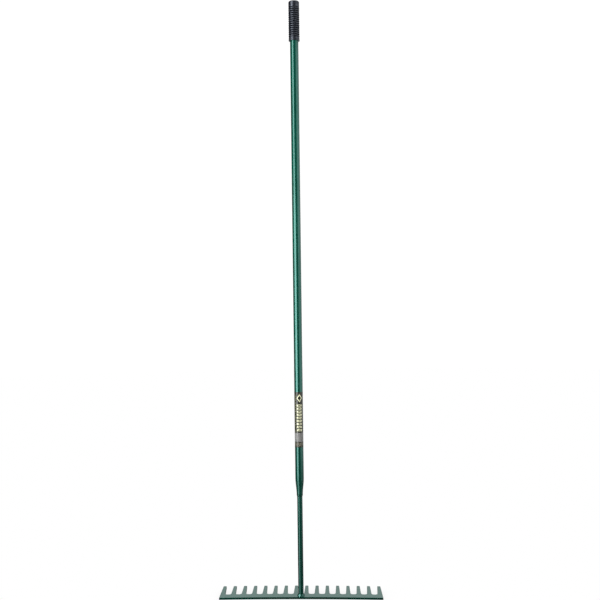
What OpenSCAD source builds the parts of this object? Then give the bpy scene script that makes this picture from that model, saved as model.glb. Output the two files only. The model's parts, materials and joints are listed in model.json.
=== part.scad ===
// Level-head steel rake: a comb plate on a round steel shank, held in a swaged tubular handle.
// Frame: +Z runs up the handle, +Y is the way the teeth point and +X runs along the head.
// The origin is where the handle's centre line meets the underside of the head.

/* [Head] */
// Width of the head, end to end
head_w = 494; // [470:1:560]
// Number of teeth
tooth_count = 16; // [12:2:16]
// Thickness of the plate that the head is cut from
head_t = 6.5; // [4:0.5:8]
// Depth of the solid spine behind the teeth
spine_d = 23; // [23:1:36]
// Length of a tooth, from the spine to the tip
tooth_l = 58; // [40:1:90]
// Width of a tooth at its tip
tooth_tip_w = 9.5; // [8:0.5:12]
// Width of a tooth at the spine, without its fillets
tooth_root_w = 14; // [13:0.5:15.5]
// Radius of the fillet between a tooth and the spine
root_r = 7; // [1:0.5:7.5]
// Radius of the corners at a tooth's tip
tip_r = 2.5; // [0.5:0.5:3]
// How far the spine's corners reach past the flanks of the end teeth
end_reach = 1.4; // [0:0.1:3]
// How far the teeth lean up towards the handle, in degrees
head_tilt = 6; // [0:1:12]

/* [Shank] */
// Diameter of the solid round shank
shank_d = 16; // [12:1:18]
// How far the weld around the shank's foot spreads over the head
foot_weld_leg = 3; // [2:0.5:3.5]
// How far that weld climbs up the shank
foot_weld_rise = 7; // [3:0.5:8]
// How far the shank reaches into the handle tube
shank_insert = 102; // [80:1:160]

/* [Handle tube] */
// Overall height, from the origin to the top of the grip
overall_h = 1800; // [1400:5:2000]
// Outside diameter of the tube
tube_d = 25.4; // [24:0.2:26]
// Wall of the tube
tube_wall = 1.6; // [1.2:0.1:2]
// Height of the tube's swaged mouth above the origin
mouth_z = 313; // [200:1:400]
// Length of the plain neck that grips the shank
neck_l = 4; // [2:1:20]
// Length of the swaged taper above the neck
taper_l = 41; // [30:1:80]
// Height of the weld that closes the tube's mouth
mouth_weld_h = 7; // [3:1:10]

/* [Grip] */
// Length of the grip
grip_l = 122; // [116:0.5:160]
// Diameter over the grip's ribs
grip_rib_d = 33.5; // [32:0.5:36]
// Diameter of the smooth collars above and below the ribs
grip_collar_d = 32.5; // [31:0.5:34]
// Diameter at the bottom of the grooves between the ribs
grip_groove_d = 29.1; // [28.4:0.1:30.5]
// Number of ribs
rib_count = 14; // [8:1:16]
// Distance from one rib to the next
rib_pitch = 6.4; // [5:0.1:7]
// Width of the flat bottom of the groove between two ribs
groove_w = 0.4; // [0.2:0.1:2]
// Height of the smooth collar at the grip's mouth
mouth_collar_h = 11; // [8:0.5:20]
// Rise of the domed top
dome_h = 2.6; // [1:0.1:4]
// Thickness of the closed top over the tube's end
grip_cap_t = 5; // [4.5:0.5:8]

/* [Label] */
// Height of the label's lower edge above the origin
label_z = 455; // [420:1:900]
// Height of the label
label_h = 166; // [60:1:200]
// Thickness of the label film
label_t = 0.2; // [0.2:0.05:0.4]

/* [Hidden] */
$fn = 96;

PAINT = "#0b5a44";
PAINT_HEAD = "#2f6a58";
STEEL = "#8c8f92";
BLACK = "#24262b";
FILM = "#1c1d12";

ARC_STEPS = 6;
EASE_STEPS = 10;
FIT_GAP = 0.05;
BUSH_L = 30;
BUSH_BELOW_TOP = 4;
CHAMFER = 1.5;
RIB_STEPS = 8;
GRIP_EDGE_R = 4;
MOUTH_FLARE = 0.5;
MOUTH_FLARE_H = 5;
MOUTH_LIP = 0.8;
WELD_TOE = 0.35;

shank_r = shank_d / 2;
tube_r = tube_d / 2;
bore_r = tube_r - tube_wall;
neck_bore_r = shank_r + FIT_GAP;
neck_r = neck_bore_r + tube_wall * 0.8;
tube_top = overall_h - grip_cap_t;
grip_z = overall_h - grip_l;
ribs_z = grip_z + mouth_collar_h;
shank_top = mouth_z + shank_insert;

root_v = spine_d / 2;
tip_v = root_v + tooth_l;
flank_slope = (tooth_root_w - tooth_tip_w) / 2 / tooth_l;
flank_angle = atan(flank_slope);
end_half_w = tooth_tip_w / 2 + flank_slope * (tooth_l + spine_d);
tooth_pitch = (head_w - 2 * (end_half_w + end_reach)) / (tooth_count - 1);

// Slides the tilted plate so that its upper face is centred under the shank
head_shift = head_t * tan(head_tilt);

// Points along an arc about a centre, from one angle to another
function arc(centre, radius, from, to, steps = ARC_STEPS) = [
    for (i = [0 : steps])
        let (angle = from + (to - from) * i / steps)
            centre + radius * [cos(angle), sin(angle)]
];

// Half the width of a tooth at the distance v in front of the handle's centre line
function half_width(v) = tooth_tip_w / 2 + flank_slope * (tip_v - v);

// Centre of the circle that rounds a tip corner, measured from the tooth's centre line
tip_centre_v = tip_v - tip_r;
tip_centre_x = half_width(tip_centre_v + tip_r * sin(flank_angle)) - tip_r * cos(flank_angle);

// Centre of the circle that fills the corner between a tooth and the spine
root_centre_v = root_v + root_r;
root_centre_x = half_width(root_centre_v - root_r * sin(flank_angle)) + root_r * cos(flank_angle);

// Blunt end of one tooth, from its right flank to its left one
function tooth_tip(x) = concat(
    arc([x + tip_centre_x, tip_centre_v], tip_r, flank_angle, 90),
    arc([x - tip_centre_x, tip_centre_v], tip_r, 90, 180 - flank_angle)
);

// Bottom of the gap between the tooth at x and its neighbour to the left
function gap_floor(x) = concat(
    arc([x - root_centre_x, root_centre_v], root_r, -flank_angle, -90),
    arc([x - tooth_pitch + root_centre_x, root_centre_v], root_r, -90, -180 + flank_angle)
);

// Whole outline of the comb, counter-clockwise from its left back corner
comb_outline = concat(
    [[-head_w / 2, -spine_d / 2], [head_w / 2, -spine_d / 2]],
    [
        for (i = [tooth_count - 1 : -1 : 0])
            let (x = (i - (tooth_count - 1) / 2) * tooth_pitch)
                each (i > 0 ? concat(tooth_tip(x), gap_floor(x)) : tooth_tip(x))
    ]
);

// Share of the swage's radius change at the share s of its length: a cone with soft shoulders
function swage(s) = 0.5 * s + 0.25 * (1 - cos(180 * s));

// One side of the swaged taper, as radius and height pairs
function taper(low_r, high_r, steps = EASE_STEPS) = [
    for (i = [0 : steps])
        let (s = i / steps)
            [low_r + (high_r - low_r) * swage(s), mouth_z + neck_l + taper_l * s]
];

// One rounded rib, as radius and height pairs
function rib(z) = [
    for (i = [0 : RIB_STEPS])
        let (s = i / RIB_STEPS)
            [
                grip_groove_d / 2 + (grip_rib_d - grip_groove_d) / 2 * sin(180 * s),
                z + (rib_pitch - groove_w) * s
            ]
];

// Everything on and below the plane of the head's upper face
module below_head_top() {
    rotate([head_tilt, 0, 0])
        translate([-50, -50, head_t - 60])
            cube([100, 100, 60]);
}

module rake_head() {
    color(PAINT_HEAD)
        rotate([head_tilt, 0, 0])
            translate([0, head_shift, 0])
                linear_extrude(head_t)
                    polygon(comb_outline);
}

module head_shank() {
    color(PAINT)
        difference() {
            rotate_extrude()
                polygon([
                    [0, 0], [shank_r, 0], [shank_r, shank_top - CHAMFER],
                    [shank_r - CHAMFER, shank_top], [0, shank_top]
                ]);
            below_head_top();
        }
}

// Fillet weld around the shank's foot, square to the tilted head
module foot_weld() {
    leg = foot_weld_leg;
    rise = foot_weld_rise;
    inner_r = shank_r - leg;
    color(PAINT)
        difference() {
            rotate([head_tilt, 0, 0])
                translate([0, head_shift, head_t])
                    rotate_extrude()
                        polygon([
                            [inner_r, 0], [shank_r + leg, 0], [shank_r + 0.75 * leg, 0.35 * rise],
                            [shank_r + 0.4 * leg, 0.7 * rise], [shank_r, rise], [inner_r, rise]
                        ]);
            cylinder(r = shank_r, h = head_t * 4);
        }
}

module handle_tube() {
    color(PAINT)
        rotate_extrude()
            polygon(concat(
                [[neck_bore_r, mouth_z], [neck_r, mouth_z]],
                taper(neck_r, tube_r),
                [[tube_r, tube_top], [bore_r, tube_top]],
                [for (p = [EASE_STEPS : -1 : 0]) taper(neck_bore_r, bore_r)[p]]
            ));
}

// Steel sleeve that centres the shank's upper end inside the tube
module shank_bush() {
    low_z = shank_top - BUSH_BELOW_TOP - BUSH_L;
    high_z = shank_top - BUSH_BELOW_TOP;
    color(STEEL)
        rotate_extrude()
            polygon([
                [shank_r, low_z], [bore_r - 1, low_z], [bore_r, low_z + 1],
                [bore_r, high_z - 1], [bore_r - 1, high_z], [shank_r, high_z]
            ]);
}

// Weld that closes the gap between the tube's mouth and the shank
module mouth_weld() {
    low_z = mouth_z - mouth_weld_h;
    color(PAINT)
        rotate_extrude()
            polygon([
                [shank_r, low_z], [shank_r + WELD_TOE, low_z],
                [shank_r + (neck_r - shank_r) * 0.72, low_z + mouth_weld_h * 0.5],
                [neck_r, mouth_z], [shank_r, mouth_z]
            ]);
}

module label_wrap() {
    color(FILM)
        translate([0, 0, label_z])
            rotate_extrude()
                translate([tube_r, 0])
                    square([label_t, label_h]);
}

module hand_grip() {
    collar_r = grip_collar_d / 2;
    edge_z = overall_h - dome_h - GRIP_EDGE_R;
    dome_r = collar_r - GRIP_EDGE_R;
    color(BLACK)
        rotate_extrude()
            polygon(concat(
                [
                    [tube_r, grip_z],
                    [collar_r + MOUTH_FLARE - MOUTH_LIP, grip_z],
                    [collar_r + MOUTH_FLARE, grip_z + MOUTH_LIP],
                    [collar_r + MOUTH_FLARE * 0.7, grip_z + MOUTH_FLARE_H / 2],
                    [collar_r, grip_z + MOUTH_FLARE_H],
                    [collar_r, ribs_z - 0.6],
                    [grip_groove_d / 2, ribs_z]
                ],
                [for (i = [0 : rib_count - 1]) each rib(ribs_z + groove_w + i * rib_pitch)],
                [
                    [grip_groove_d / 2, ribs_z + rib_count * rib_pitch + 0.6],
                    [collar_r, ribs_z + rib_count * rib_pitch + 1.2]
                ],
                arc([dome_r, edge_z], GRIP_EDGE_R, 0, 70),
                [
                    [dome_r * 0.75, overall_h - dome_h * 0.32],
                    [dome_r * 0.4, overall_h - dome_h * 0.08],
                    [0, overall_h],
                    [0, tube_top],
                    [tube_r, tube_top]
                ]
            ));
}

rake_head();
head_shank();
foot_weld();
handle_tube();
shank_bush();
mouth_weld();
label_wrap();
hand_grip();
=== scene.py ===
"""Looks of a level-head steel rake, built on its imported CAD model.

Metres. +Z runs up the handle, +Y is the way the teeth point, +X runs along the head.
Places and outer sizes are read from the frame. The sizes named below are those that
the frame's boxes don't hold.
"""

import json
import math

import bmesh
import bpy
from mathutils import Matrix, Vector, noise


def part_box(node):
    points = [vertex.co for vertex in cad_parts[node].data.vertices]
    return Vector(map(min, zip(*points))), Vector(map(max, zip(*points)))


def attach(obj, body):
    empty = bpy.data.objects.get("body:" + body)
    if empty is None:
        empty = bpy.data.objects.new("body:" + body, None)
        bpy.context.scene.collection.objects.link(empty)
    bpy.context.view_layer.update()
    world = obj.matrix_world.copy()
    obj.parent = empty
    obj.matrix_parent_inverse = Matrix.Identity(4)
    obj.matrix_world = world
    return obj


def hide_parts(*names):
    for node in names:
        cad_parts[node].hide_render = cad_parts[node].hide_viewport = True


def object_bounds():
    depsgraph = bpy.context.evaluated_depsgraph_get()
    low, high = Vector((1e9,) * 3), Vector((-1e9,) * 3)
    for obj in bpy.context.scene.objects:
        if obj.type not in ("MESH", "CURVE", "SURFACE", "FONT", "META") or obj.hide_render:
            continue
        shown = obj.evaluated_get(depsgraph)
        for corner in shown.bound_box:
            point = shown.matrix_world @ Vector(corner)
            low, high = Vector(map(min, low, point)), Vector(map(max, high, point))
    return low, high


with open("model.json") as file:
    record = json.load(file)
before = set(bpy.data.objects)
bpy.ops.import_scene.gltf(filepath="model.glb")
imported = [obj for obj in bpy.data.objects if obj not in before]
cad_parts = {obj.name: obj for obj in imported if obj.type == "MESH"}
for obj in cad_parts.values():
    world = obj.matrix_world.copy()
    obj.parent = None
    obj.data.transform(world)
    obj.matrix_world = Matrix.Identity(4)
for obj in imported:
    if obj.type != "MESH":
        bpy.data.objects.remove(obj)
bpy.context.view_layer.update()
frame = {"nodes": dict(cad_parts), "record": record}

MM = 0.001
TAU = 2 * math.pi
BACK = math.radians(90)
SHARP_ANGLE = 38

# Head: bow and cant are how far the ends lie below the middle and off level
EDGE_ROUND = 0.55 * MM
HEAD_BOW = 2.5 * MM
HEAD_CANT = -0.25 * MM
HEAD_WAVE = 0.06 * MM
HEAD_WAVE_SCALE = (9, 14)
HEAD_SHARP_ANGLE = 60

# Shank: its foot is inside the plate, at this height above the underside
SHANK_FOOT = 5 * MM
SHANK_CHAMFER = 1.5 * MM
SHANK_FOOT_CHAMFER = 0.3 * MM
ROLLING_MARK = 0.05 * MM

# Handle tube, with its swaged lower end
TUBE_WALL = 1.6 * MM
NECK_BORE_GAP = 0.05 * MM
NECK_WALL = 1.28 * MM
NECK_LENGTH = 4 * MM
TAPER_LENGTH = 41 * MM
TUBE_END_CHAMFER = 0.3 * MM
NECK_EDGE = [(-0.35 * MM, 0), (-0.1 * MM, 0.1 * MM), (0, 0.5 * MM)]
SEAM_HEIGHT = 0.10 * MM
SEAM_ANGLE = BACK + 0.35
SEAM_HALF_ANGLE = math.radians(5)
DIE_MARK = 0.10 * MM
DIE_MARKS = 8
DIE_TURN = 0.4
DIES_FADE_IN = 8 * MM
DIES_FADE_FROM = 12 * MM
DIES_FADE_TO = 6 * MM
DRAWING_MARK = 0.03 * MM

# Grip
GRIP_BORE_GAP = 0.06 * MM
RIB_COUNT = 14
RIB_PITCH = 6.4 * MM
RIB_STEPS = 12
GROOVE_WIDTH = 0.4 * MM
GROOVE_INSET = 2.2 * MM
GROOVE_DULL_FROM = 0.25 * MM
GROOVE_DULL_TO = 1.0 * MM
MOUTH_COLLAR = 11 * MM
COLLAR_INSET = 0.5 * MM
COLLAR_ROUND = 0.5 * MM
FLARE_LENGTH = 5 * MM
FLARE_STEPS = 8
LIP_ROUND = 0.8 * MM
LIP_CHAMFER = 0.5 * MM
TOP_EDGE_ROUND = 4 * MM
DOME_RISE = 2.6 * MM
DOME_STEPS = 12
NUB_RADIUS = 1.6 * MM
NUB_HEIGHT = 0.25 * MM
CAP_THICKNESS = 5 * MM
CAVITY_CHAMFER = 0.8 * MM
TOP_COLLAR_GAP = 1.2 * MM
PARTING_LINE = 0.12 * MM
PARTING_ANGLE = 0.35
PARTING_HALF_ANGLE = 0.03
MOULD_WAVE = 0.05 * MM

# Weld at the tube's mouth
MOUTH_ROOT = 0.4 * MM
MOUTH_RIPPLES = 24
MOUTH_RIPPLE = 0.16 * MM
MOUTH_TOE = 0.5 * MM
MOUTH_STEPS = 10

# Weld at the shank's foot, with a flat facet whose angle is counted from +X towards +Y
WELD_ROOT = 0.8 * MM
WELD_LEG = 3.2 * MM
WELD_RISE = 7.4 * MM
WELD_SUNK = 0.6 * MM
WELD_BULGE = 0.06
WELD_STEPS = 9
FOOT_RIPPLES = 17
FOOT_RIPPLE = 0.09
FACET_ANGLE = math.radians(-118)
FACET_HALF = 0.30
FACET_OUT = 0.9 * MM
FACET_SLANT = 0.26

# Label: film
FILM = 0.1 * MM
FILM_GAP = 0.03 * MM
FILM_WRINKLE = 0.02 * MM
FILM_COLUMNS = 148
FILM_ROWS = 42
OVERLAP_ANGLE = math.radians(14)
OVERLAP_MIDDLE = BACK + 0.25

# Label: print, as shares of one turn across and of the label's height up
FRONT_U = 0.512
BLOCKS = 9
BLOCKS_FROM = 0.285
BLOCKS_SPAN = 0.50
BLOCKS_ACROSS = (FRONT_U - 0.105, FRONT_U + 0.09)
HOLES_ACROSS = (FRONT_U - 0.05, FRONT_U + 0.04)
BLOCK_IN_STEP = (0.18, 0.82)
HOLE_IN_STEP = (0.38, 0.64)
TICKS = 30
TICK_IN_STEP = (0.2, 0.7)
TICK_SHADE = 0.45
TICKS_TO = 0.95
LEFT_TICKS = (FRONT_U - 0.165, FRONT_U - 0.145)
RIGHT_TICKS = (FRONT_U + 0.15, FRONT_U + 0.20)
DIAMOND_V = 0.89
DIAMOND_HALF_WIDTH = 0.11
DIAMOND_HALF_HEIGHT = 0.075
DIAMOND_HOLLOW = 0.62
RULES = 46
RULES_FROM = 0.10
RULES_TO = 0.262
PRINTED_FOOT = (0.02, RULES_FROM - 0.015)
PRINT_EDGE = 0.002
PRINT_HEIGHT = 0.012 * MM

# Colours, linear
PAINT_DEEP = (0.0010, 0.046, 0.029)
PAINT_BRIGHT = (0.0016, 0.058, 0.037)
PAINT_FLECK = (0.004, 0.070, 0.048)
PAINT_THIN = (0.010, 0.070, 0.050)
# Painted shade: darker paint towards the head, standing in for the dimmer light low on the handle
PAINT_LOW_SHADE = (0.0006, 0.022, 0.014)
PAINT_SHEEN = (0.45, 1.0, 0.9)
GRIP_BLACK = (0.003, 0.0035, 0.006)
GRIP_BLOOM = (0.006, 0.007, 0.010)
# Grip crests: partly rub wear, partly painted light that leaves the grooves in painted shade
GRIP_CREST_WEAR_AND_LIGHT = (0.016, 0.017, 0.021)
GRIP_SHEEN = (0.76, 0.84, 1.0)
FIELD_DARK = (0.010, 0.013, 0.008)
FIELD_OLIVE = (0.026, 0.028, 0.015)
CREAM = (0.80, 0.80, 0.56)
CREAM_DEEP = (0.62, 0.63, 0.38)
RULE_GREY = (0.27, 0.27, 0.265)
FOOT_BEIGE = (0.22, 0.20, 0.145)
STEEL_DARK = (0.33, 0.32, 0.30)
STEEL_LIGHT = (0.47, 0.46, 0.44)
RUST = (0.16, 0.07, 0.03)

# Surfaces
NOISE_LOW = 0.3
NOISE_HIGH = 0.7
# Painted shade towards the head: full share below the first height, gone above the second
LOW_SHADE_FROM = 0.10
LOW_SHADE_TO = 0.80
LOW_SHADE_SHARE = 0.75
PAINT_ROUGHNESS = (0.13, 0.21)
PAINT_PEEL = 0.010 * MM
PAINT_RUNS = 0.035 * MM
GRIP_ROUGHNESS = (0.30, 0.40)
GROOVE_ROUGHER = 0.30
GROOVE_DULLER = 0.93
GRIP_SKIN = 0.03 * MM
GRIP_FLOW = 0.05 * MM
STEEL_ROUGHNESS = (0.28, 0.42)
TOOL_RINGS = 0.02 * MM
FILM_ROUGHNESS = (0.2, 0.32)
FILM_COCKLE = 0.04 * MM

# Camera
CAMERA_AZIMUTH = 2.0
CAMERA_DISTANCE = 2.6
CAMERA_HEIGHT = 0.8974
CAMERA_AIM_RIGHT = 0.0079
CAMERA_LENS = 51.735
SENSOR_WIDTH = 36
CAMERA_ROLL = math.radians(-0.71)
CLIP_NEAR = 0.05
CLIP_FAR = 50

# Floor and room
FLOOR_RADIUS = 9
FLOOR_SEEN = 1.0
FLOOR_BOUNCE = 0.12
CONTACT_REACH = 0.12
CONTACT_SHADE = 0.86
ROOM_SEEN = 1.05
ROOM_LIGHT = 0.03

# Lights
KEY_DISTANCE = 1.4
KEY_PARTS = [
    # from and to azimuth, from and to height, radiance
    (-63, -31, 1.39, 2.7, 5.2),
    (-69, -21, 0.39, 1.39, 6.4),
    (-62, -28, 0.0, 0.39, 5.2),
    (-60, -27, -0.6, 0.0, 2.45),
]
SIDE_DISTANCE = 2.0
SIDE_PARTS = [
    (36, 72, 2.28, 3.0, 0.75),
    (36, 72, 1.2, 2.28, 1.75),
    (36, 72, 0.04, 1.2, 1.4),
    (72, 125, 2.28, 3.0, 0.45),
    (72, 125, 1.2, 2.28, 1.3),
    (72, 125, 0.04, 1.2, 1.1),
    (125, 155, 0.1, 3.0, 0.45),
    (36, 72, -0.3, 0.04, 0.45),
    (72, 125, -0.3, 0.04, 0.4),
    (36, 125, -0.9, -0.3, 0.2),
]
BACK_DISTANCE = 2.2
BACK_HEIGHT = 1.5
BACK_SIZE = (1.4, 2.0)
BACK_TILT = -0.6
BACK_RADIANCE = 1.25
TOP_PLACE = (0, -0.6, 3.6)
TOP_FACING = (0, 0.1, -1)
TOP_SIZE = (2.4, 2.0)
TOP_RADIANCE = 1.5


def smoothstep(low, high, value):
    """0 at low, 1 at high, a smooth run between them and level beyond; low may be the larger."""
    t = min(1.0, max(0.0, (value - low) / (high - low)))
    return t * t * (3 - 2 * t)


def mix(a, b, share):
    """a at share 0, b at share 1."""
    return a + (b - a) * share


def angle_between(a, b):
    """Smallest angle between two directions, given as angles."""
    return abs((a - b + math.pi) % TAU - math.pi)


def half_width(box):
    """Half a box's width along X: the radius of a round part."""
    low, high = box
    return (high.x - low.x) / 2


# ---------------------------------------------------------------- meshes


def new_object(name, bm, sharp_angle=SHARP_ANGLE):
    """Turns a bmesh into a smooth-shaded object with outward normals."""
    bmesh.ops.recalc_face_normals(bm, faces=bm.faces)
    mesh = bpy.data.meshes.new(name)
    bm.to_mesh(mesh)
    bm.free()
    mesh.shade_smooth()
    mesh.set_sharp_from_angle(angle=math.radians(sharp_angle))
    piece = bpy.data.objects.new(name, mesh)
    bpy.context.scene.collection.objects.link(piece)
    return piece


def lathe(name, profile, segments, closed, shape):
    """Turns a profile of (radius, height) points about Z.

    A closed profile makes a ring. An open one starts and ends on the axis.
    shape(radius, height, angle) may move each point within its own half-plane.
    """
    bm = bmesh.new()
    rows = []
    for radius, height in profile:
        if radius == 0:
            rows.append([bm.verts.new((0, 0, height))])
            continue
        row = []
        for k in range(segments):
            angle = TAU * k / segments
            r, z = shape(radius, height, angle)
            row.append(bm.verts.new((r * math.cos(angle), r * math.sin(angle), z)))
        rows.append(row)
    pairs = list(zip(rows, rows[1:]))
    if closed:
        pairs.append((rows[-1], rows[0]))
    for low, high in pairs:
        for k in range(segments):
            n = (k + 1) % segments
            corners = [low[k % len(low)], low[n % len(low)], high[n % len(high)], high[k % len(high)]]
            bm.faces.new(list(dict.fromkeys(corners)))
    return new_object(name, bm)


def arc(centre, radius, start, end, steps):
    """Points on an arc, as (radius, height) pairs; angles in degrees."""
    points = []
    for i in range(steps + 1):
        angle = math.radians(mix(start, end, i / steps))
        points.append((centre[0] + radius * math.cos(angle), centre[1] + radius * math.sin(angle)))
    return points


def stand_for(piece, node):
    """Puts a finished piece in place of its CAD node."""
    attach(piece, "root")
    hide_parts(node)


# ---------------------------------------------------------------- head


def head_frame():
    """Matrix from the head's own frame to the row's.

    Its Z is square to the plate, and its origin is the mount on the plate's underside.
    """
    mount = next(m for m in frame["record"]["mounts"] if m["name"] == "head_underside")
    normal = -Vector(mount["axis"]).normalized()
    along = Vector((1, 0, 0))
    forward = normal.cross(along)
    rotation = Matrix((along, forward, normal)).transposed().to_4x4()
    return Matrix.Translation(Vector(mount["pos_m"])) @ rotation


def head_outline(to_row):
    """The comb's outline in the head's own frame, in order, and the plate's thickness.

    Both come from the CAD node.
    """
    bm = bmesh.new()
    bm.from_mesh(frame["nodes"]["rake_head"].data)
    bm.transform(to_row.inverted())
    bmesh.ops.remove_doubles(bm, verts=bm.verts, dist=0.01 * MM)
    bm.normal_update()
    thickness = max(v.co.z for v in bm.verts)
    all_but_top = [f for f in bm.faces if f.normal.z < 0.99]
    bmesh.ops.delete(bm, geom=all_but_top, context="FACES")
    rim = {}
    for edge in bm.edges:
        if edge.is_boundary:
            start, end = edge.verts
            if edge.link_loops[0].vert is not start:
                start, end = end, start
            rim[start] = end
    first = vertex = next(iter(rim))
    outline = []
    while True:
        outline.append((vertex.co.x, vertex.co.y))
        vertex = rim[vertex]
        if vertex is first:
            break
    bm.free()
    return outline, thickness


def cut_across(bm, point, direction):
    """Adds a line of edges where a plane crosses the mesh."""
    everything = list(bm.verts) + list(bm.edges) + list(bm.faces)
    bmesh.ops.bisect_plane(bm, geom=everything, dist=0.001 * MM, plane_co=point, plane_no=direction)


def make_head(to_row, outline, thickness):
    """Comb plate with rounded edges and the slight bow and cant that welding leaves in it."""
    bm = bmesh.new()
    bottom = bm.faces.new([bm.verts.new((x, y, 0)) for x, y in outline])
    raised = bmesh.ops.extrude_face_region(bm, geom=[bottom])["geom"]
    corners = [g for g in raised if isinstance(g, bmesh.types.BMVert)]
    bmesh.ops.translate(bm, verts=corners, vec=(0, 0, thickness))
    bmesh.ops.recalc_face_normals(bm, faces=bm.faces)
    level = [e for e in bm.edges if abs(e.verts[0].co.z - e.verts[1].co.z) < 0.5 * thickness]
    rounding = {"segments": 3, "profile": 0.5, "affect": "EDGES", "clamp_overlap": True}
    bmesh.ops.bevel(bm, geom=level, offset=EDGE_ROUND, **rounding)

    # Cuts at both sides of every gap keep the faces short, so that the plate can bow smoothly.
    gaps = [o["box_m"] for o in frame["record"]["physics"]["openings"]]
    inner_y = min(low[1] for low, high in gaps)
    cut_across(bm, (0, inner_y, 0), (0, 1, 0))
    for low, high in gaps:
        for x in (low[0], high[0]):
            cut_across(bm, (x, 0, 0), (1, 0, 0))
    many_sided = [f for f in bm.faces if len(f.verts) > 4]
    bmesh.ops.triangulate(bm, faces=many_sided, quad_method="BEAUTY", ngon_method="BEAUTY")

    half = max(x for x, y in outline)
    for vertex in bm.verts:
        x, y, z = vertex.co
        vertex.co.z -= HEAD_BOW * (x / half) ** 2 - HEAD_CANT * x / half
        waves = Vector((x * HEAD_WAVE_SCALE[0], y * HEAD_WAVE_SCALE[1], 0))
        vertex.co.z += HEAD_WAVE * noise.noise(waves)
    bm.transform(to_row)
    head = new_object("comb_plate", bm, HEAD_SHARP_ANGLE)
    head.modifiers.new("even_normals", "WEIGHTED_NORMAL").keep_sharp = True
    return head


# ---------------------------------------------------------------- shank, tube and welds


def make_shank(to_row):
    """Hot-rolled round bar, cut square to the head at its foot."""
    low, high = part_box("head_shank")
    radius = (high.x - low.x) / 2
    foot = to_row @ Vector((0, 0, SHANK_FOOT))
    normal = to_row.to_3x3() @ Vector((0, 0, 1))
    rings = 60
    profile = [(0, 0), (radius - SHANK_FOOT_CHAMFER, 0), (radius, SHANK_FOOT_CHAMFER)]
    profile += [(radius, high.z * i / rings) for i in range(1, rings)]
    profile += [(radius, high.z - SHANK_CHAMFER), (radius - SHANK_CHAMFER, high.z), (0, high.z)]

    def shape(r, z, angle):
        x, y = r * math.cos(angle), r * math.sin(angle)
        plate_z = foot.z - (normal.y * (y - foot.y)) / normal.z
        rolled = ROLLING_MARK * noise.noise(Vector((x * 90, y * 90, z * 22)))
        return r + rolled, max(z, plate_z)

    return lathe("shank_rod", profile, 72, False, shape)


def swage(share):
    """Share of the swage's change in radius at a share of its length: a cone with soft shoulders."""
    return 0.5 * share + 0.25 * (1 - math.cos(math.pi * share))


def make_tube():
    """Seam-welded tube: outer wall up, inner wall down, with the swaged end at the bottom."""
    low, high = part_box("handle_tube")
    radius = (high.x - low.x) / 2
    bore = radius - TUBE_WALL
    neck_bore = half_width(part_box("head_shank")) + NECK_BORE_GAP
    neck = neck_bore + NECK_WALL
    taper_z = low.z + NECK_LENGTH
    taper_top = taper_z + TAPER_LENGTH
    steps, rings = 24, 48
    outer = [(neck + out, low.z + up) for out, up in NECK_EDGE]
    inner = [(neck_bore, low.z)]
    for i in range(steps + 1):
        share = i / steps
        z = taper_z + TAPER_LENGTH * share
        outer.append((mix(neck, radius, swage(share)), z))
        inner.append((mix(neck_bore, bore, swage(share)), z))
    straight = high.z - taper_z - TAPER_LENGTH
    outer += [(radius, taper_z + TAPER_LENGTH + straight * i / rings) for i in range(1, rings)]
    outer += [(radius, high.z - TUBE_END_CHAMFER), (radius - TUBE_END_CHAMFER, high.z)]
    inner.append((bore, high.z))

    def shape(r, z, angle):
        # The bore stays plain, except inside the swage.
        if r < neck_bore + 0.4 * NECK_WALL or abs(r - bore) < 0.01 * MM:
            return r, z
        seam = SEAM_HEIGHT * (1 - smoothstep(0, SEAM_HALF_ANGLE, angle_between(angle, SEAM_ANGLE)))
        leaving = smoothstep(taper_top - DIES_FADE_FROM, taper_top + DIES_FADE_TO, z)
        in_taper = smoothstep(low.z, low.z + DIES_FADE_IN, z) * (1 - leaving)
        dies = DIE_MARK * in_taper * math.cos(DIE_MARKS * angle + DIE_TURN)
        drawn = DRAWING_MARK * noise.noise(Vector((math.cos(angle), math.sin(angle), z * 7)))
        return r + seam * (1 - in_taper) + dies + drawn, z

    return lathe("swaged_tube", outer + inner[::-1], 128, True, shape)


def ripple(angle, count):
    """Height of a weld's ripples round a joint, from 0 to 1: a slow rise and a quick fall."""
    peak = 0.6
    wander = 0.25 * math.sin(2 * angle + 0.7) + 0.15 * math.sin(5 * angle)
    phase = (count * angle / TAU + wander) % 1.0
    return phase / peak if phase < peak else (1 - phase) / (1 - peak)


def make_mouth_weld():
    """Run of weld between the tube's mouth and the shank, dressed back nearly to a cone."""
    low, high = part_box("mouth_weld")
    shank = half_width(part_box("head_shank"))
    top_r = (high.x - low.x) / 2 + 0.02 * MM
    toe_r = shank + 0.15 * MM
    height = high.z - low.z
    profile = [(shank - MOUTH_ROOT, low.z)]
    for i in range(MOUTH_STEPS + 1):
        share = i / MOUTH_STEPS
        bulge = 0.12 * math.sin(math.pi * min(1, share * 1.1))
        out = min(1, share ** 0.72 + bulge)
        profile.append((mix(toe_r, top_r, out), low.z + height * share))
    profile.append((shank - MOUTH_ROOT, high.z + MOUTH_ROOT))

    def shape(r, z, angle):
        if r < shank:
            return r, z
        share = (z - low.z) / height
        lift = math.sin(math.pi * min(1, max(0, share)))
        rise = MOUTH_RIPPLE * lift * (ripple(angle + 0.3 * share, MOUTH_RIPPLES) - 0.4)
        toe = MOUTH_TOE * (1 - share) * math.sin(3 * angle + 1.1) * smoothstep(0.4, 0, share)
        return r + rise, z + toe

    return lathe("mouth_weld_bead", profile, 192, True, shape)


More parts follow.
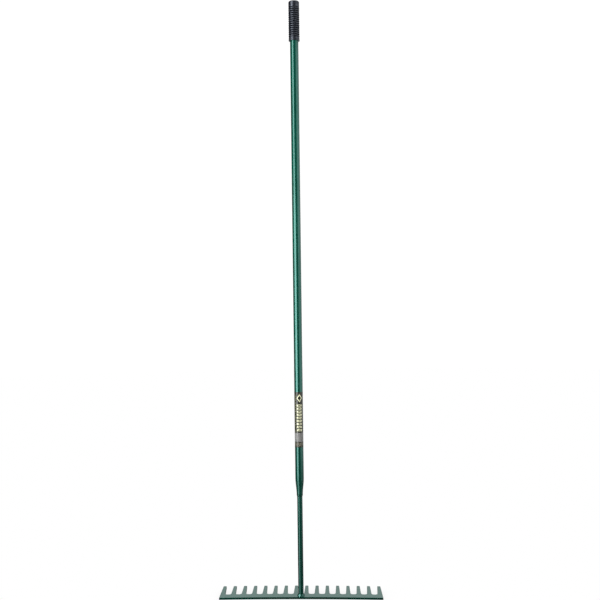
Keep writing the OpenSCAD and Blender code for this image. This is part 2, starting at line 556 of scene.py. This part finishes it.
def make_foot_weld(to_row, thickness):
    """Fillet weld round the shank's foot, square to the head.

    It is a steep cone with ripples and a wandering toe. At the front left it has a smooth
    flat facet that leans a little to one side.
    """
    shank = half_width(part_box("head_shank"))
    normal = to_row.to_3x3() @ Vector((0, 0, 1))
    offset = thickness * normal.y / normal.z
    profile = [(shank - WELD_ROOT, -WELD_SUNK), (shank + WELD_LEG, -WELD_SUNK)]
    for i in range(WELD_STEPS + 1):
        share = i / WELD_STEPS
        bulge = WELD_BULGE * math.sin(math.pi * share)
        out = WELD_LEG * (1 - share + bulge)
        profile.append((shank + out, WELD_RISE * (share + 0.5 * bulge)))
    profile.append((shank - WELD_ROOT, WELD_RISE * 1.02))

    def shape(r, z, angle):
        if r < shank:
            return r, z
        share = min(1, max(0, z / WELD_RISE))
        away = angle_between(angle, FACET_ANGLE + FACET_SLANT * (share - 0.5))
        chord = 1 / math.cos(min(away, FACET_HALF)) - 1
        flat = chord * (1 - smoothstep(FACET_HALF, 2 * FACET_HALF, away))
        rough = smoothstep(0.6 * FACET_HALF, 1.6 * FACET_HALF, away)
        facet = r * flat + FACET_OUT * (1 - share) * (1 - rough)
        wander = 0.10 * math.sin(3 * angle + 0.6) + 0.06 * math.sin(7 * angle)
        wave = FOOT_RIPPLE * (ripple(angle - 0.22 * share, FOOT_RIPPLES) - 0.4)
        lift = math.sin(math.pi * mix(0.12, 0.88, share))
        grow = WELD_LEG * rough * (lift * wave + wander * (1 - share))
        climb = WELD_LEG * 0.08 * wave * lift * rough if z > 0 else 0
        return r + grow + facet, z + climb

    bead = lathe("foot_weld_bead", profile, 204, True, shape)
    bead.data.transform(to_row @ Matrix.Translation((0, offset, thickness)))
    return bead


# ---------------------------------------------------------------- grip and label


def make_grip():
    """Moulded sleeve with a closed, domed top, even ribs, smooth collars and a faint parting line."""
    low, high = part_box("hand_grip")
    rib_r = (high.x - low.x) / 2
    collar_r = rib_r - COLLAR_INSET
    groove_r = rib_r - GROOVE_INSET
    bore_r = half_width(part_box("handle_tube")) + GRIP_BORE_GAP
    z0, z1 = low.z, high.z
    ribs_z = z0 + MOUTH_COLLAR
    top_collar_z = ribs_z + RIB_COUNT * RIB_PITCH + TOP_COLLAR_GAP

    # Mouth, with its lip, flare and collar
    profile = [(bore_r, z0 + LIP_CHAMFER), (bore_r + LIP_CHAMFER, z0)]
    profile += arc((rib_r - LIP_ROUND, z0 + LIP_ROUND), LIP_ROUND, -90, 0, 5)
    for i in range(1, FLARE_STEPS + 1):
        share = i / FLARE_STEPS
        flare = (1 - smoothstep(0, 1, share)) * (rib_r - collar_r)
        profile.append((collar_r + flare, z0 + LIP_ROUND + (FLARE_LENGTH - LIP_ROUND) * share))
    profile.append((collar_r, ribs_z - 1.3 * MM))
    profile += arc((collar_r - COLLAR_ROUND, ribs_z - 0.9 * MM), COLLAR_ROUND, 0, 90, 3)
    profile.append((groove_r + 0.2 * MM, ribs_z - 0.2 * MM))

    # Ribs, each half a wave of a sine
    for i in range(RIB_COUNT):
        foot = ribs_z + GROOVE_WIDTH + i * RIB_PITCH
        for k in range(RIB_STEPS + 1):
            share = k / RIB_STEPS
            height = math.sin(math.pi * share)
            profile.append((mix(groove_r, rib_r, height), foot + (RIB_PITCH - GROOVE_WIDTH) * share))
    profile.append((groove_r, top_collar_z - 1.1 * MM))

    # Top collar, round edge, dome and the nub at its middle
    profile += arc((collar_r - COLLAR_ROUND, top_collar_z - 0.1 * MM), COLLAR_ROUND, -90, 0, 3)
    edge_z = z1 - DOME_RISE - TOP_EDGE_ROUND
    profile += [(collar_r, mix(top_collar_z + 0.4 * MM, edge_z, 0.5))]
    profile += arc((collar_r - TOP_EDGE_ROUND, edge_z), TOP_EDGE_ROUND, 0, 72, 10)
    last_r, last_z = profile[-1]
    for i in range(1, DOME_STEPS + 1):
        r = mix(last_r, NUB_RADIUS, i / DOME_STEPS)
        profile.append((r, mix(last_z, z1 - NUB_HEIGHT, 1 - (r / last_r) ** 2)))
    profile += [(NUB_RADIUS - 0.3 * MM, z1), (NUB_RADIUS * 0.4, z1), (0, z1 - 0.05 * MM)]

    cavity = z1 - CAP_THICKNESS + 0.05 * MM
    inside = [(0, cavity), (bore_r - CAVITY_CHAMFER, cavity), (bore_r, cavity - CAVITY_CHAMFER)]

    def shape(r, z, angle):
        if r <= bore_r + 0.02 * MM or z > z1 - 1.2 * MM:
            return r, z
        sides = (PARTING_ANGLE, PARTING_ANGLE + math.pi)
        line = min(angle_between(angle, side) for side in sides)
        ridge = PARTING_LINE * (1 - smoothstep(0, PARTING_HALF_ANGLE, line))
        soft = MOULD_WAVE * noise.noise(Vector((math.cos(angle) * 2, math.sin(angle) * 2, z * 60)))
        return r + ridge + soft, z

    return lathe("ribbed_grip", inside + profile, 240, False, shape)


def make_label():
    """Printed film wrapped once round the tube, its end lapped over its start at the back."""
    low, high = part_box("label_wrap")
    tube = half_width(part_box("handle_tube")) + FILM_GAP
    turn = TAU + OVERLAP_ANGLE
    columns, rows = FILM_COLUMNS, FILM_ROWS
    start = OVERLAP_MIDDLE - OVERLAP_ANGLE / 2
    bm = bmesh.new()
    uv = bm.loops.layers.uv.new("film")

    def sheet(lift):
        grid = []
        for j in range(rows + 1):
            z = mix(low.z, high.z, j / rows)
            line = []
            for i in range(columns + 1):
                share = i / columns
                angle = start + turn * share
                lap = FILM * smoothstep(TAU - 0.02, TAU + 0.05, turn * share)
                place = Vector((math.cos(angle) * 3, math.sin(angle) * 3, z * 50))
                r = tube + lift + lap + FILM_WRINKLE * noise.noise(place)
                line.append(bm.verts.new((r * math.cos(angle), r * math.sin(angle), z)))
            grid.append(line)
        return grid

    inner, outer = sheet(0.0), sheet(FILM)

    def face(corners, places):
        made = bm.faces.new(corners)
        for loop, place in zip(made.loops, places):
            loop[uv].uv = place

    for j in range(rows):
        for i in range(columns):
            cell = [(i, j), (i + 1, j), (i + 1, j + 1), (i, j + 1)]
            places = [(a / columns * turn / TAU, b / rows) for a, b in cell]
            face([outer[b][a] for a, b in cell], places)
            face([inner[b][a] for a, b in cell[::-1]], places[::-1])
    rim = [(i, 0) for i in range(columns)]
    rim += [(columns, j) for j in range(rows)]
    rim += [(i, rows) for i in range(columns, 0, -1)]
    rim += [(0, j) for j in range(rows, 0, -1)]
    for (a, b), (c, d) in zip(rim, rim[1:] + rim[:1]):
        near, far = (a / columns, b / rows), (c / columns, d / rows)
        face([inner[b][a], inner[d][c], outer[d][c], outer[b][a]], [near, far, far, near])
    return new_object("label_film", bm)


# ---------------------------------------------------------------- nodes


def new_material(name):
    """A node material, its tree and its Principled shader."""
    material = bpy.data.materials.new(name)
    material.use_nodes = True
    return material, material.node_tree, material.node_tree.nodes["Principled BSDF"]


def add(tree, kind, inputs, **settings):
    """Adds a node. Each input is a number, a colour or a socket to link."""
    made = tree.nodes.new(kind)
    for key, value in settings.items():
        setattr(made, key, value)
    for key, value in inputs.items():
        if isinstance(value, bpy.types.NodeSocket):
            tree.links.new(value, made.inputs[key])
        else:
            made.inputs[key].default_value = value
    return made


def place_of(tree, stretch=(1, 1, 1)):
    """Position on the object in metres, stretched along each axis."""
    place = add(tree, "ShaderNodeTexCoord", {}).outputs["Object"]
    return add(tree, "ShaderNodeMapping", {"Vector": place, "Scale": stretch}).outputs["Vector"]


def height_of(tree, place):
    """Height of a position, in metres."""
    return add(tree, "ShaderNodeSeparateXYZ", {"Vector": place}).outputs["Z"]


def edge_pointiness(tree):
    """Pointiness of the mesh: about 0.5 on flats and more along outer edges."""
    return add(tree, "ShaderNodeNewGeometry", {}).outputs["Pointiness"]


def grain(tree, place, scale, detail=2.0, rough=0.5):
    """Noise from 0 to 1, with scale features to the metre."""
    inputs = {"Vector": place, "Scale": scale, "Detail": detail, "Roughness": rough}
    return add(tree, "ShaderNodeTexNoise", inputs).outputs["Fac"]


def remap(tree, value, low, high, to_low, to_high):
    """Value scaled from one range to another and held inside it."""
    inputs = {"Value": value, "From Min": low, "From Max": high, "To Min": to_low, "To Max": to_high}
    return add(tree, "ShaderNodeMapRange", inputs).outputs["Result"]


def spread(tree, noise_value, to_low=0, to_high=1):
    """Noise scaled from the range that it mostly keeps to onto another."""
    return remap(tree, noise_value, NOISE_LOW, NOISE_HIGH, to_low, to_high)


def maths(tree, operation, a, b=0.0):
    """One Math node's result."""
    return add(tree, "ShaderNodeMath", {0: a, 1: b}, operation=operation).outputs[0]


def times(tree, a, b):
    """Product of two values."""
    return maths(tree, "MULTIPLY", a, b)


def steps_of(tree, value, count):
    """Place within a step, from 0 to 1, where count steps fill a range of 1."""
    return maths(tree, "FRACT", times(tree, value, count))


def within(tree, value, low, high, soft):
    """1 where value lies between low and high and 0 outside, with soft edges."""
    rise = remap(tree, value, low - soft, low + soft, 0, 1)
    fall = remap(tree, value, high - soft, high + soft, 1, 0)
    return times(tree, rise, fall)


def blend_colours(tree, share, a, b):
    """Colour a at share 0 and colour b at share 1."""
    made = add(tree, "ShaderNodeMix", {"Factor": share}, data_type="RGBA")
    for index, colour in ((6, a), (7, b)):
        if isinstance(colour, bpy.types.NodeSocket):
            tree.links.new(colour, made.inputs[index])
        else:
            made.inputs[index].default_value = (*colour, 1)
    return made.outputs[2]


def bump(tree, height, distance, below=None):
    """Normal of a surface raised by height, which runs from 0 to 1, times distance in metres."""
    inputs = {"Height": height, "Distance": distance, "Strength": 1.0}
    if below is not None:
        inputs["Normal"] = below
    return add(tree, "ShaderNodeBump", inputs).outputs["Normal"]


# ---------------------------------------------------------------- materials


def gloss_paint():
    """Dark green stoved paint, thinner along the edges, with painted shade that darkens it towards the
    head.

    It has faint orange peel, runs and a drift in shade.
    """
    material, tree, shader = new_material("green_gloss_paint")
    place = place_of(tree)
    drift = grain(tree, place, 14, 3)
    fleck = grain(tree, place, 900, 2)
    base = blend_colours(tree, spread(tree, drift), PAINT_DEEP, PAINT_BRIGHT)
    base = blend_colours(tree, remap(tree, fleck, 0.62, 0.8, 0, 0.2), base, PAINT_FLECK)
    thin = remap(tree, edge_pointiness(tree), 0.53, 0.62, 0, 0.35)
    base = blend_colours(tree, thin, base, PAINT_THIN)
    # Painted shade: the paint darkens towards the head, standing in for the dimmer light low on the
    # handle.
    low_shade = remap(tree, height_of(tree, place), LOW_SHADE_FROM, LOW_SHADE_TO, LOW_SHADE_SHARE, 0)
    base = blend_colours(tree, low_shade, base, PAINT_LOW_SHADE)
    tree.links.new(base, shader.inputs["Base Color"])
    rough = spread(tree, grain(tree, place, 45, 3), *PAINT_ROUGHNESS)
    tree.links.new(rough, shader.inputs["Roughness"])
    peel = bump(tree, grain(tree, place, 420, 2, 0.45), PAINT_PEEL)
    runs = bump(tree, grain(tree, place_of(tree, (1, 1, 0.25)), 60, 1), PAINT_RUNS, peel)
    tree.links.new(runs, shader.inputs["Normal"])
    shader.inputs["Specular IOR Level"].default_value = 1.0
    shader.inputs["Specular Tint"].default_value = (*PAINT_SHEEN, 1)
    return material


def moulded_grip():
    """Black moulded grip: fine grain, a dull bloom, dull grooves, and crests lighter than the grooves,
    partly rub marks and partly painted shade in the grooves.
    """
    material, tree, shader = new_material("black_moulded_grip")
    place = place_of(tree)
    low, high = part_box("hand_grip")
    bloom = remap(tree, grain(tree, place, 70, 4), 0.35, 0.75, 0, 1)
    base = blend_colours(tree, bloom, GRIP_BLACK, GRIP_BLOOM)
    # Crests lighter than the grooves: partly rub wear, partly painted shade standing in for the
    # grooves' occlusion.
    crest = remap(tree, edge_pointiness(tree), 0.50, 0.60, 0, 1)
    crest_wear_and_light = times(tree, crest, remap(tree, bloom, 0, 1, 0.3, 0.9))
    tree.links.new(blend_colours(tree, crest_wear_and_light, base, GRIP_CREST_WEAR_AND_LIGHT), shader.inputs["Base Color"])

    ribs_low = low.z + MOUTH_COLLAR
    ribs_high = ribs_low + RIB_COUNT * RIB_PITCH
    ribbed = within(tree, height_of(tree, place), ribs_low, ribs_high, GROOVE_WIDTH)
    flat = add(tree, "ShaderNodeMapping", {"Vector": place, "Scale": (1, 1, 0)}).outputs["Vector"]
    radius = add(tree, "ShaderNodeVectorMath", {"Vector": flat}, operation="LENGTH").outputs["Value"]
    rib_r = (high.x - low.x) / 2
    depth = remap(tree, radius, rib_r - GROOVE_DULL_FROM, rib_r - GROOVE_DULL_TO, 0, 1)
    dull = times(tree, ribbed, depth)
    rough = spread(tree, grain(tree, place, 260, 3), *GRIP_ROUGHNESS)
    rough = maths(tree, "ADD", rough, times(tree, dull, GROOVE_ROUGHER))
    tree.links.new(rough, shader.inputs["Roughness"])
    polish = maths(tree, "SUBTRACT", 1.0, times(tree, dull, GROOVE_DULLER))
    tree.links.new(polish, shader.inputs["Specular IOR Level"])
    shader.inputs["Specular Tint"].default_value = (*GRIP_SHEEN, 1)

    skin = bump(tree, grain(tree, place, 1800, 2, 0.6), GRIP_SKIN)
    flow = bump(tree, grain(tree, place_of(tree, (1, 1, 0.3)), 240, 2), GRIP_FLOW, skin)
    tree.links.new(flow, shader.inputs["Normal"])
    return material


def turned_steel():
    """Bare turned steel of the bush inside the tube: tool rings and a little rust bloom."""
    material, tree, shader = new_material("bare_turned_steel")
    place = place_of(tree)
    rings = grain(tree, place_of(tree, (0.02, 0.02, 1)), 2600, 2)
    rust = remap(tree, grain(tree, place, 160, 5), 0.62, 0.78, 0, 0.6)
    steel = blend_colours(tree, rings, STEEL_DARK, STEEL_LIGHT)
    tree.links.new(blend_colours(tree, rust, steel, RUST), shader.inputs["Base Color"])
    tree.links.new(spread(tree, rings, *STEEL_ROUGHNESS), shader.inputs["Roughness"])
    tree.links.new(bump(tree, rings, TOOL_RINGS), shader.inputs["Normal"])
    shader.inputs["Metallic"].default_value = 1.0
    return material


def printed_blocks(tree, across, up):
    """Column of plain blocks, each with a small hole in it."""
    rise = maths(tree, "SUBTRACT", up, BLOCKS_FROM)
    step = steps_of(tree, rise, BLOCKS / BLOCKS_SPAN)
    row = within(tree, up, BLOCKS_FROM, BLOCKS_FROM + BLOCKS_SPAN, PRINT_EDGE)
    tall = within(tree, step, *BLOCK_IN_STEP, 0.03)
    wide = within(tree, across, *BLOCKS_ACROSS, PRINT_EDGE)
    solid = times(tree, times(tree, tall, row), wide)
    hole = within(tree, step, *HOLE_IN_STEP, 0.02)
    hole = times(tree, hole, within(tree, across, *HOLES_ACROSS, 2 * PRINT_EDGE))
    return maths(tree, "SUBTRACT", solid, times(tree, hole, solid))


def printed_ticks(tree, across, up):
    """Fainter ticks down both sides."""
    step = within(tree, steps_of(tree, up, TICKS), *TICK_IN_STEP, 0.05)
    left = within(tree, across, *LEFT_TICKS, PRINT_EDGE / 2)
    right = within(tree, across, *RIGHT_TICKS, PRINT_EDGE / 2)
    ticks = times(tree, step, maths(tree, "MAXIMUM", left, right))
    ticks = times(tree, ticks, within(tree, up, RULES_TO, TICKS_TO, PRINT_EDGE))
    return times(tree, ticks, TICK_SHADE)


def printed_diamond(tree, across, up):
    """Hollow diamond near the top."""
    side = maths(tree, "ABSOLUTE", maths(tree, "SUBTRACT", across, FRONT_U))
    rise = maths(tree, "ABSOLUTE", maths(tree, "SUBTRACT", up, DIAMOND_V))
    side = maths(tree, "DIVIDE", side, DIAMOND_HALF_WIDTH)
    rise = maths(tree, "DIVIDE", rise, DIAMOND_HALF_HEIGHT)
    return within(tree, maths(tree, "ADD", side, rise), DIAMOND_HOLLOW, 1.0, 0.03)


def printed_rules(tree, across, up):
    """Upright bars of uneven width."""
    unevenness = grain(tree, place_of(tree, (1, 1, 0)), 320, 0)
    bar_width = spread(tree, unevenness, 0.45, 0.85)
    bars = maths(tree, "LESS_THAN", steps_of(tree, across, RULES), bar_width)
    return times(tree, bars, within(tree, up, RULES_FROM, RULES_TO, PRINT_EDGE))


def printed_film():
    """Glossy film over a generic print: blocks, ticks, a diamond, upright bars and a mottled foot."""
    material, tree, shader = new_material("printed_label_film")
    film_uv = add(tree, "ShaderNodeUVMap", {}, uv_map="film").outputs["UV"]
    sheet = add(tree, "ShaderNodeSeparateXYZ", {"Vector": film_uv})
    across, up = sheet.outputs["X"], sheet.outputs["Y"]
    place = place_of(tree)
    speckle = grain(tree, place, 1500, 2)
    field = blend_colours(tree, remap(tree, speckle, 0.35, 0.7, 0, 1), FIELD_DARK, FIELD_OLIVE)
    cream = blend_colours(tree, spread(tree, speckle), CREAM, CREAM_DEEP)

    ink = maths(tree, "MAXIMUM", printed_blocks(tree, across, up), printed_ticks(tree, across, up))
    ink = maths(tree, "MAXIMUM", ink, printed_diamond(tree, across, up))
    rules = printed_rules(tree, across, up)
    foot = within(tree, up, *PRINTED_FOOT, PRINT_EDGE)
    mottle = remap(tree, grain(tree, place, 420, 1), 0.47, 0.53, 0, 0.7)
    face = blend_colours(tree, ink, field, cream)
    face = blend_colours(tree, rules, face, RULE_GREY)
    face = blend_colours(tree, times(tree, foot, mottle), face, FOOT_BEIGE)
    tree.links.new(face, shader.inputs["Base Color"])

    rough = spread(tree, grain(tree, place, 120, 2), *FILM_ROUGHNESS)
    tree.links.new(rough, shader.inputs["Roughness"])
    raised = bump(tree, maths(tree, "MAXIMUM", ink, rules), PRINT_HEIGHT)
    cockle = bump(tree, grain(tree, place, 90, 2), FILM_COCKLE, raised)
    tree.links.new(cockle, shader.inputs["Normal"])
    return material


def studio_floor():
    """Evenly glowing pale floor with a faint painted contact shadow, which throws little light on the
    rake.
    """
    material = bpy.data.materials.new("pale_floor")
    material.use_nodes = True
    tree = material.node_tree
    tree.nodes.clear()
    # Painted shadow: ambient occlusion darkens the floor's glow near the rake.
    near = add(tree, "ShaderNodeAmbientOcclusion", {"Distance": CONTACT_REACH}, samples=8).outputs["AO"]
    shade = remap(tree, near, 0.3, 1.0, CONTACT_SHADE, FLOOR_SEEN)
    seen = add(tree, "ShaderNodeLightPath", {}).outputs["Is Camera Ray"]
    glow = add(tree, "ShaderNodeMix", {0: seen, 2: FLOOR_BOUNCE, 3: shade}).outputs[0]
    surface = add(tree, "ShaderNodeEmission", {"Color": (1, 1, 1, 1), "Strength": glow})
    add(tree, "ShaderNodeOutputMaterial", {"Surface": surface.outputs[0]})
    return material


# ---------------------------------------------------------------- stage


def make_floor(height):
    """Round floor, large enough to reach past every view."""
    bm = bmesh.new()
    bmesh.ops.create_circle(bm, cap_ends=True, radius=FLOOR_RADIUS, segments=96)
    floor = new_object("floor", bm)
    floor.location.z = height
    floor.data.materials.append(studio_floor())
    floor.visible_glossy = False


def softbox(name, centre, facing, size, radiance):
    """Rectangular light of even radiance that the camera itself doesn't see."""
    width, height = size
    light = bpy.data.lights.new(name, "AREA")
    light.shape = "RECTANGLE"
    light.size = width
    light.size_y = height
    light.energy = radiance * math.pi * width * height
    lamp = bpy.data.objects.new(name, light)
    lamp.location = centre
    lamp.rotation_mode = "QUATERNION"
    lamp.rotation_quaternion = Vector(facing).to_track_quat("-Z", "Y")
    lamp.visible_camera = False
    bpy.context.scene.collection.objects.link(lamp)


def from_camera_side(azimuth, distance, height):
    """Point at an azimuth counted from the camera's, to the right, at a distance from the handle."""
    angle = math.radians(azimuth + CAMERA_AZIMUTH)
    return Vector((distance * math.sin(angle), -distance * math.cos(angle), height))


def panel(name, part, distance):
    """Upright flat light that spans an azimuth range and a height range as seen from the handle."""
    start, end, low, high, radiance = part
    centre = from_camera_side((start + end) / 2, distance, (low + high) / 2)
    width = 2 * distance * math.tan(math.radians(end - start) / 2)
    softbox(name, centre, (-centre.x, -centre.y, 0), (width, high - low), radiance)


def make_lights():
    """Key light at the left, broad wall at the right, a backdrop light behind and a top light."""
    for index, part in enumerate(KEY_PARTS):
        panel(f"key_{index}", part, KEY_DISTANCE)
    for index, part in enumerate(SIDE_PARTS):
        panel(f"side_{index}", part, SIDE_DISTANCE)
    centre = from_camera_side(180, BACK_DISTANCE, BACK_HEIGHT)
    softbox("backdrop", centre, (-centre.x, -centre.y, BACK_TILT), BACK_SIZE, BACK_RADIANCE)
    softbox("top", TOP_PLACE, TOP_FACING, TOP_SIZE, TOP_RADIANCE)


def make_world():
    """The camera sees white. Everything else sees a dim room."""
    world = bpy.data.worlds.new("studio")
    bpy.context.scene.world = world
    world.use_nodes = True
    tree = world.node_tree
    tree.nodes.clear()
    seen = add(tree, "ShaderNodeLightPath", {}).outputs["Is Camera Ray"]
    room = add(tree, "ShaderNodeBackground", {"Color": (1, 1, 1, 1), "Strength": ROOM_LIGHT})
    white = add(tree, "ShaderNodeBackground", {"Color": (1, 1, 1, 1), "Strength": ROOM_SEEN})
    both = add(tree, "ShaderNodeMixShader", {0: seen, 1: room.outputs[0], 2: white.outputs[0]})
    add(tree, "ShaderNodeOutputWorld", {"Surface": both.outputs[0]})


def make_camera():
    """Level camera in front of the handle, a little to its right and rolled by a hair."""
    camera = bpy.data.objects.new("camera", bpy.data.cameras.new("camera"))
    camera.data.sensor_width = SENSOR_WIDTH
    camera.data.lens = CAMERA_LENS
    camera.data.clip_start = CLIP_NEAR
    camera.data.clip_end = CLIP_FAR
    back = from_camera_side(0, CAMERA_DISTANCE, 0)
    right = from_camera_side(90, CAMERA_AIM_RIGHT, 0)
    camera.location = back + right + Vector((0, 0, CAMERA_HEIGHT))
    camera.rotation_mode = "QUATERNION"
    level = (-back).to_track_quat("-Z", "Y")
    camera.rotation_quaternion = level @ Matrix.Rotation(CAMERA_ROLL, 3, "Z").to_quaternion()
    bpy.context.scene.collection.objects.link(camera)
    bpy.context.scene.camera = camera
    bpy.context.scene.view_settings.view_transform = "Standard"


# ---------------------------------------------------------------- assembly

to_row = head_frame()
outline, thickness = head_outline(to_row)
paint = gloss_paint()
pieces = {
    "rake_head": (make_head(to_row, outline, thickness), "green_coat", paint),
    "head_shank": (make_shank(to_row), "green_coat", paint),
    "foot_weld": (make_foot_weld(to_row, thickness), "green_coat", paint),
    "handle_tube": (make_tube(), "green_coat", paint),
    "mouth_weld": (make_mouth_weld(), "green_coat", paint),
    "label_wrap": (make_label(), "label_film", printed_film()),
    "hand_grip": (make_grip(), "black_grip", moulded_grip()),
}
for node, (piece, slot, material) in pieces.items():
    piece.data.materials.append(material)
    stand_for(piece, node)

steel = turned_steel()
for material_slot in frame["nodes"]["shank_bush"].material_slots:
    material_slot.material = steel

low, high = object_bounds()
make_floor(low.z)
make_world()
make_lights()
make_camera()
